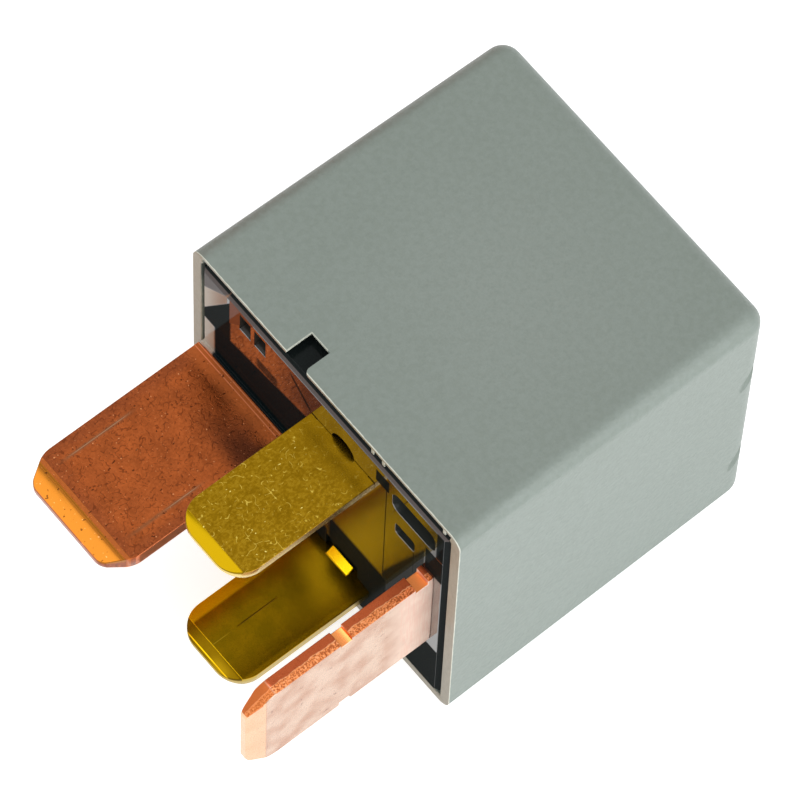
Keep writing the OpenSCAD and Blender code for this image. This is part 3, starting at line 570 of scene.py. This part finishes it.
core_low, core_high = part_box("core")
core_middle = (core_low + core_high) / 2
turned = Finish("turned_iron", metallic=1)
across, along = turned.x - core_middle.x, turned.z - core_middle.z
radius = turned.node("Math", {"operation": "SQRT"}, {0: across * across + along * along})
rings = turned.node("Math", {"operation": "SINE"}, {0: radius * (2 * math.pi / (0.16 * MM))})
dust = turned.noise(0.3 * MM, 3.0)
turned.feed("base_color", turned.mix(dust, tint(160, 161, 166), tint(186, 186, 188)))
turned.feed("roughness", 0.22 + dust * 0.14)
turned.bump(rings, 0.002 * MM)
dress(rounded("core", "core_and_pole", 0.12 * MM), turned, "relay_body", "relay_iron",
      "core")


# -------------------------------------------------------------------- coil
# A moulded bobbin with two flanges, wound with enamelled copper wire and wrapped in one turn
# of amber film. The wire's ends go over the flange to the tails of blades 85 and 86.

natural = Finish("bobbin_moulding", roughness=0.42)
fibres = natural.noise(0.16 * MM, 2.0, (1, 5, 1))
natural.feed("base_color", natural.mix(fibres.above(0.55, 0.15), tint(226, 223, 210),
                                       tint(208, 203, 186)))
natural.bump(fibres, 0.008 * MM)
dress(rounded("bobbin", "bobbin_moulding", 0.1 * MM), natural, "relay_body",
      "bobbin_plastic", "bobbin")

wire_d = 0.26 * MM
wound_low, wound_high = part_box("winding")
wound_middle = (wound_low + wound_high) / 2
wound_r = (wound_high.x - wound_low.x) / 2
turns = int((wound_high.y - wound_low.y) / wire_d)
pitch = (wound_high.y - wound_low.y) / turns

enamel = Finish("enamelled_wire", metallic=1, coat_weight=0.6, coat_roughness=0.08)
tone = enamel.noise(1.1 * MM, 3.0, (1, 0.4, 1))
enamel.feed("base_color", enamel.mix(tone.above(0.5, 0.2), tint(150, 62, 26),
                                     tint(184, 88, 40)))
enamel.feed("roughness", 0.22 + tone * 0.16)
enamel.bump(enamel.noise(0.1 * MM, 2.0), 0.003 * MM)

bpy.ops.mesh.primitive_torus_add(
    major_radius=wound_r - wire_d / 2, minor_radius=wire_d / 2, major_segments=64,
    minor_segments=8, location=(wound_middle.x, wound_low.y + pitch / 2, wound_middle.z),
    rotation=(math.radians(90), 0, 0))
coil = bpy.context.object
coil.name = coil.data.name = "coil_turns"
bpy.ops.object.transform_apply()
modify(coil, "ARRAY", count=turns, use_relative_offset=False, use_constant_offset=True,
       constant_offset_displace=(0, pitch, 0))
bpy.ops.object.select_all(action="DESELECT")
bpy.ops.mesh.primitive_cylinder_add(
    vertices=64, radius=wound_r - wire_d / 2, depth=wound_high.y - wound_low.y,
    location=wound_middle, rotation=(math.radians(90), 0, 0))
bpy.ops.object.transform_apply()
bpy.ops.object.mode_set(mode="EDIT")
pick(lambda at, face: abs(face.normal.y) > 0.9)
bpy.ops.mesh.inset(thickness=wound_r - wire_d / 2 - 3.45 * MM)
bpy.ops.mesh.bridge_edge_loops()
bpy.ops.object.mode_set(mode="OBJECT")
coil.select_set(True)
bpy.context.view_layer.objects.active = coil
bpy.ops.object.join()
dress(coil, enamel, "relay_body", "coil_wire", "winding")
enamel.on("coil_lead_start", "coil_lead_finish")

film = Finish("amber_film", coat_weight=0.5, coat_roughness=0.05)
lap = abs(film.x - (wound_middle.x + 2.2 * MM)).below(0.05 * MM, 0.03 * MM) * film.z.above(
    wound_middle.z, 0.1 * MM)
creases = film.noise(0.8 * MM, 3.0, (1, 4, 1))
film.feed("base_color", film.mix(lap | creases.above(0.62, 0.1) * 0.4, tint(206, 164, 62),
                                 tint(166, 118, 34)))
film.feed("roughness", 0.2 + creases * 0.2)
film.bump(creases - lap, 0.02 * MM)
film.on("coil_tape")


# ---------------------------------------------------------------- resistor
# A film resistor across the coil, dipped in pale blue lacquer, with its value in colour
# bands and its tinned leads bent round to the two tails.

body_low, body_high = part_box("resistor_body")
body_middle = (body_low + body_high) / 2
lacquer = Finish("blue_lacquer", roughness=0.25, coat_weight=0.4)
sag = lacquer.noise(0.7 * MM, 2.0)
colour = lacquer.mix(sag.above(0.5, 0.2), tint(104, 152, 180), tint(124, 170, 194))
for place, band in ((-1.9, tint(60, 110, 60)), (-0.9, tint(52, 80, 150)),
                    (-0.1, tint(50, 34, 24)), (1.9, tint(120, 70, 30))):
    ring = abs(lacquer.z - (body_middle.z + place * MM)).below(0.2 * MM, 0.03 * MM)
    colour = lacquer.mix(ring, colour, band)
lacquer.feed("base_color", colour)
lacquer.bump(sag, 0.03 * MM)
dress(rounded("resistor_body", "resistor_film", 0.3 * MM, 4), lacquer, "relay_body",
      "resistor_lacquer", "resistor_body")

tinned = Finish("tinned_wire", metallic=1)
dross = tinned.noise(0.3 * MM, 3.0)
tinned.feed("base_color", tinned.mix(dross, tint(182, 182, 178), tint(212, 212, 208)))
tinned.feed("roughness", 0.25 + dross * 0.2)
tinned.bump(dross, 0.008 * MM)
tinned.on("resistor_leads")


# ------------------------------------------------- contacts, stop and rivets
# The two contacts are headed from silver alloy and riveted in. The back stop and the four
# rivets are tinned steel, with the marks of the tools that set them.

silver = Finish("silver_alloy", metallic=1)
bloom = silver.noise(0.5 * MM, 4.0)
silver.feed("base_color", silver.mix(bloom.above(0.5, 0.2), tint(196, 195, 188),
                                     tint(222, 222, 218)))
silver.feed("roughness", 0.26 + bloom * 0.2)
silver.bump(bloom, 0.01 * MM)
dress(rounded("fixed_contact", "contact_fixed", 0.12 * MM, 3), silver, "relay_body",
      "contact_silver", "fixed_contact")
dress(rounded("moving_contact", "contact_moving", 0.12 * MM, 3), silver, "armature_group",
      "contact_silver", "moving_contact")

steel = Finish("tinned_steel", metallic=1)
pressed = steel.noise(0.25 * MM, 3.0, (1, 3, 1))
steel.feed("base_color", steel.mix(pressed.above(0.5, 0.2), tint(168, 168, 164),
                                   tint(192, 192, 188)))
steel.feed("roughness", 0.24 + pressed * 0.18)
steel.bump(pressed, 0.006 * MM)
dress(rounded("back_stop", "back_stop_strip", 0.06 * MM), steel, "relay_body", "stop_steel",
      "back_stop")
dress(rounded("yoke_rivets", "rivets_on_yoke", 0.12 * MM, 3), steel, "relay_body",
      "stop_steel", "yoke_rivets")
dress(rounded("armature_rivets", "rivets_on_armature", 0.12 * MM, 3), steel,
      "armature_group", "stop_steel", "armature_rivets")


# ---------------------------------------------------- armature and its spring
# The hinged iron plate, and the leaf spring of rolled copper alloy that holds it, opens it
# and carries the moving contact. The real spring bends round the hinge edge as the plate
# turns; here it keeps one shape.

dress(rounded("armature", "armature_plate", 0.08 * MM), iron, "armature_group",
      "relay_iron", "armature")

bronze = Finish("rolled_bronze", metallic=1)
rolled = bronze.noise(0.07 * MM, 2.0, (1, 1, 20))
patches = bronze.noise(1.5 * MM, 3.0)
bronze.feed("base_color", bronze.mix(patches.above(0.5, 0.2), tint(196, 134, 74),
                                     tint(212, 150, 86)))
bronze.feed("roughness", 0.22 + rolled * 0.16)
bronze.bump(rolled, 0.003 * MM)
spring = dress(rounded("contact_spring", "leaf_spring", 0.04 * MM), bronze, None,
               "spring_bronze", "contact_spring")
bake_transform(spring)


# ------------------------------------------------------------------- cover
# The moulded box that snaps over the base: grey-green polyester with a fine spark-eroded
# grain. Its rim is pale, with a notch in the upper wall.

def block(name, low, high):
    """Starts a piece as a box between two corners and opens it in edit mode."""
    low, high = Vector(low), Vector(high)
    bpy.ops.mesh.primitive_cube_add(size=1, location=(low + high) / 2)
    piece = bpy.context.object
    piece.name = piece.data.name = name
    piece.scale = high - low
    bpy.ops.object.transform_apply()
    bpy.ops.object.mode_set(mode="EDIT")
    return piece


def slice_across(axis, where):
    """Cuts what is selected along the plane at one place on an axis."""
    normal = {"x": (1, 0, 0), "y": (0, 1, 0), "z": (0, 0, 1)}[axis]
    bpy.ops.mesh.bisect(plane_co=[part * where for part in normal], plane_no=normal)


def on_upper_wall(at, face):
    return face.normal.z > 0.99


cover_low, cover_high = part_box("cover")
wall, draft = 0.8 * MM, 0.2 * MM
mouth_radius, end_radius = 1.0 * MM, 1.4 * MM
rim_y = cover_low.y
middle = (cover_low + cover_high) / 2

cover = block("cover_shell", cover_low, cover_high)
# The closed end leans in on three sides, so the shell leaves its mould
pick(lambda at, face: face.normal.y > 0.9)
bpy.ops.transform.resize(
    value=(1 - 2 * draft / (cover_high.x - cover_low.x), 1,
           1 - draft / (cover_high.z - cover_low.z)),
    center_override=(0, cover_high.y, cover_low.z))
pick(lambda at, edge: at.y > rim_y + 0.5 * MM, "EDGE")
bpy.ops.mesh.bevel(offset=end_radius, segments=10, profile=0.5)
# The long edges tighten towards the mouth
pick(lambda at, face: face.normal.y < -0.9)
bpy.ops.mesh.delete(type="FACE")
shell = bmesh.from_edit_mesh(cover.data)
for corner in shell.verts:
    if corner.co.y < rim_y + 0.01 * MM:
        for axis in "xz":
            centre, half = getattr(middle, axis), getattr(cover_high - middle, axis)
            away = getattr(corner.co, axis) - centre
            past = abs(away) - (half - end_radius)
            if past > -1e-6 * MM:
                moved = half - mouth_radius + past * mouth_radius / end_radius
                setattr(corner.co, axis, centre + math.copysign(moved, away))
bmesh.update_edit_mesh(cover.data)

# The notch in the rim narrows inwards and has one mouth corner rounded
notch_low, notch_high, notch_end = -3.9 * MM, -2.1 * MM, rim_y + 2.08 * MM
notch_taper = 0.2 * MM
for axis, where in (("x", notch_low), ("x", notch_high), ("y", notch_end)):
    pick(on_upper_wall)
    slice_across(axis, where)
pick(lambda at, face: on_upper_wall(at, face) and notch_low < at.x < notch_high
     and at.y < notch_end)
bpy.ops.mesh.delete(type="FACE")
for side, edge in ((1, notch_low), (-1, notch_high)):
    pick(lambda at, corner: (at - Vector((edge, notch_end, cover_high.z))).length < 0.01 * MM,
         "VERT")
    bpy.ops.transform.translate(value=(side * notch_taper, 0, 0))
pick(lambda at, corner: abs(at.y - rim_y) < 0.001 * MM and abs(at.x - notch_high) < 0.001 * MM
     and at.z > middle.z, "VERT")
bpy.ops.mesh.bevel(affect="VERTICES", offset=0.42 * MM, segments=6)
bpy.ops.object.mode_set(mode="OBJECT")

modify(cover, "SOLIDIFY", thickness=wall, offset=-1, use_even_offset=True)

# A lead-in chamfer inside the upper wall's rim and notch leaves only a thin lip there
lead_in = 0.6 * MM
bpy.ops.object.mode_set(mode="EDIT")
pick(lambda at, edge: abs(at.z - cover_high.z + wall) < 0.02 * MM
     and (abs(at.y - rim_y) < 0.01 * MM
          or notch_low - 0.1 * MM < at.x < notch_high + 0.5 * MM and at.y < notch_end
          + 0.02 * MM and edge.calc_face_angle(0) > 1), "EDGE")
bpy.ops.mesh.bevel(offset=lead_in, segments=1)
bpy.ops.object.mode_set(mode="OBJECT")
modify(cover, "BEVEL", width=0.07 * MM, segments=2, limit_method="ANGLE",
       angle_limit=math.radians(50))

# Burrs of flash that hang from the lip into the gap round the base
burr_half_w = 0.13 * MM
for place in (4.66 * MM, 5.73 * MM, 11.7 * MM):
    bpy.ops.object.select_all(action="DESELECT")
    block("burr", (place - burr_half_w, rim_y + 0.02 * MM, cover_high.z - 0.85 * MM),
          (place + burr_half_w, rim_y + 0.15 * MM, cover_high.z - 0.1 * MM))
    bpy.ops.mesh.bevel(offset=0.03 * MM, segments=2)
    pick(lambda at, face: face.normal.z < -0.99)
    bpy.ops.transform.resize(value=(0.4, 1, 1))
    bpy.ops.object.mode_set(mode="OBJECT")
    bpy.context.view_layer.objects.active = cover
    cover.select_set(True)
    bpy.ops.object.join()

# Two slanting nicks across the far upright edge
nick_r = 0.6 * MM
for side in (-1, 1):
    at_edge = Vector((12.858, 20.058, 12.9 + side * 5.9)) * MM
    fade = Vector((13.65, 18.458, 12.9 + side * 5.9 - 2.2)) * MM
    bpy.ops.object.select_all(action="DESELECT")
    bpy.ops.mesh.primitive_cylinder_add(vertices=32, radius=nick_r,
                                        depth=2 * (fade - at_edge).length, location=at_edge)
    cutter = bpy.context.object
    cutter.rotation_euler = (fade - at_edge).to_track_quat("Z", "Y").to_euler()
    bpy.ops.object.transform_apply()
    cutter.select_set(False)
    modify(cover, "BOOLEAN", operation="DIFFERENCE", object=cutter, solver="EXACT")
    bpy.data.objects.remove(cutter)

cover_finish = Finish("cover_moulding", ior=1.55)
grain = cover_finish.noise(0.16 * MM, 3.0)
pits = cover_finish.noise(0.34 * MM, 1.0)
cast = cover_finish.noise(5.0 * MM, 3.0)
ragged = cover_finish.y + cover_finish.noise(0.5 * MM, 2.0) * 0.1 * MM
rubbed = ragged.below(rim_y + 0.13 * MM, 0.03 * MM)
cut_face = cover_finish.y.below(rim_y + 0.02 * MM, 0.012 * MM)
streaks = cover_finish.noise(0.25 * MM, 2.0, (1, 1, 4))
blotches = cover_finish.noise(0.45 * MM, 3.0)
beside_notch = (cover_finish.x.between(notch_low - 0.04 * MM, notch_high - 0.2 * MM,
                                       0.03 * MM)
                * cover_finish.y.below(notch_end + 0.05 * MM, 0.03 * MM))
# Both placed for one viewpoint: a lighter patch of painted lamplight on the top, and a
# brown-grey band of painted shade along the -X edge
painted_lamplight = cover_finish.x.between(-5 * MM, 9 * MM, 6 * MM) * cover_finish.y.between(
    1 * MM, 15 * MM, 6 * MM)
painted_shade_minus_x_edge = cover_finish.x.below(cover_low.x + 0.9 * MM, 0.5 * MM) * cover_finish.z.above(
    cover_high.z - 1.6 * MM, 0.3 * MM)
colour = cover_finish.mix(cast, tint(120, 129, 119), tint(127, 136, 127))
colour = cover_finish.mix(painted_lamplight * 0.6, colour, tint(134, 141, 133))
colour = cover_finish.mix(painted_shade_minus_x_edge * 0.75, colour, tint(108, 101, 90))
colour = cover_finish.mix(grain.above(0.55, 0.2) * 0.5, colour, tint(118, 128, 120))
colour = cover_finish.mix(blotches.above(0.5, 0.15) * 0.25, colour, tint(138, 147, 140))
colour = cover_finish.mix(rubbed | beside_notch * 0.7, colour, tint(214, 214, 198))
cut = cover_finish.mix(streaks, tint(136, 127, 108), tint(168, 159, 141))
# Painted warm shade on the cut face at the -X end
cut = cover_finish.mix(cover_finish.x.below(cover_low.x + 1 * MM, 0.1 * MM) * 0.6, cut,
                       tint(142, 122, 92))
colour = cover_finish.mix(cut_face, colour, cut)
cover_finish.feed("base_color", colour)
cover_finish.feed("roughness", 0.36 + grain * 0.14)
cover_finish.bump(grain * 0.6 + pits, 0.024 * MM)
dress(cover, cover_finish, "relay_body", "cover_plastic", "cover", angle=30)


# ------------------------------------------------- floor, light and camera
# A pale round floor under a white studio sky, with a soft lamp high in front of the blades,
# a large low panel on the side of blade 87 and a small lamp low in front.

bpy.ops.mesh.primitive_circle_add(vertices=96, radius=0.6, fill_type="NGON")
floor = bpy.context.object
floor.name = "floor"
floor_finish = Finish("floor_paint", roughness=0.9)
paint = floor_finish.noise(30 * MM, 2.0)
floor_finish.feed("base_color", floor_finish.mix(paint, tint(236, 236, 236),
                                                 tint(240, 240, 240)))
floor_finish.feed("emission_color", (1, 1, 1, 1))


def seen_by_camera(tree):
    """1 for what the camera sees, straight or through metal and glass, and 0 for light."""
    rays = tree.nodes.new("ShaderNodeLightPath")
    last = rays.outputs["Is Camera Ray"]
    for name in ("Is Glossy Ray", "Is Transmission Ray"):
        either = tree.nodes.new("ShaderNodeMath")
        either.operation = "MAXIMUM"
        tree.links.new(last, either.inputs[0])
        tree.links.new(rays.outputs[name], either.inputs[1])
        last = either.outputs[0]
    return last


seen = Wire(floor_finish, seen_by_camera(floor_finish.tree))
# The constant part of the glow also lights the relay a little
floor_finish.feed("emission_strength", 0.1 + seen * 0.5)
floor.data.materials.append(floor_finish.material)

# The sky is a little warmer and dimmer on the side away from the panel
world = bpy.data.worlds.new("studio")
bpy.context.scene.world = world
world.use_nodes = True
sky = world.node_tree
paper, around = sky.nodes["Background"], sky.nodes.new("ShaderNodeTexCoord")
across = sky.nodes.new("ShaderNodeSeparateXYZ")
sky.links.new(around.outputs["Generated"], across.inputs[0])
shade = sky.nodes.new("ShaderNodeMix")
shade.data_type = "RGBA"
for socket, value in ((0, 0.5), (6, (0.44, 0.40, 0.35, 1)), (7, (0.99, 1.06, 1.14, 1))):
    shade.inputs[socket].default_value = value
place = sky.nodes.new("ShaderNodeMapRange")
place.inputs["From Min"].default_value = -1
sky.links.new(across.outputs["X"], place.inputs["Value"])
sky.links.new(place.outputs[0], shade.inputs[0])
plain = sky.nodes.new("ShaderNodeMix")
plain.data_type = "RGBA"
plain.inputs[7].default_value = (0.985, 0.992, 1, 1)
sky.links.new(shade.outputs[2], plain.inputs[6])
sky.links.new(seen_by_camera(sky), plain.inputs[0])
sky.links.new(plain.outputs[2], paper.inputs["Color"])


lamp_distance = 0.45


def soft_lamp(name, direction, size, watts):
    """A square lamp that looks at the relay from one direction."""
    lamp = bpy.data.lights.new(name, "AREA")
    lamp.energy, lamp.size = watts, size
    stand = bpy.data.objects.new(name, lamp)
    bpy.context.collection.objects.link(stand)
    way = Vector(direction).normalized()
    stand.location = (cad_low + cad_high) / 2 + way * lamp_distance
    stand.rotation_euler = way.to_track_quat("Z", "Y").to_euler()


soft_lamp("front_lamp", (-0.32, -0.18, 0.93), 0.2, 0.26)
soft_lamp("side_panel", (0.93, 0.1, 0.32), 0.5, 1.4)
soft_lamp("low_lamp", (-0.32, -0.78, 0.54), 0.1, 0.06)

camera_data = bpy.data.cameras.new("camera")
camera = bpy.data.objects.new("camera", camera_data)
bpy.context.collection.objects.link(camera)
bpy.context.scene.camera = camera
camera_data.lens, camera_data.sensor_width = 305.06, 36
azimuth, elevation, roll = 48.0, 64.35, 3.07
turn = (Euler((math.radians(90 - elevation), 0, math.radians(azimuth))).to_matrix()
        @ Matrix.Rotation(math.radians(roll), 3, "Z"))
camera.rotation_euler = turn.to_euler()
camera.location = (0.1391, -0.1242, 0.4067)

bpy.context.scene.view_settings.view_transform = "Standard"
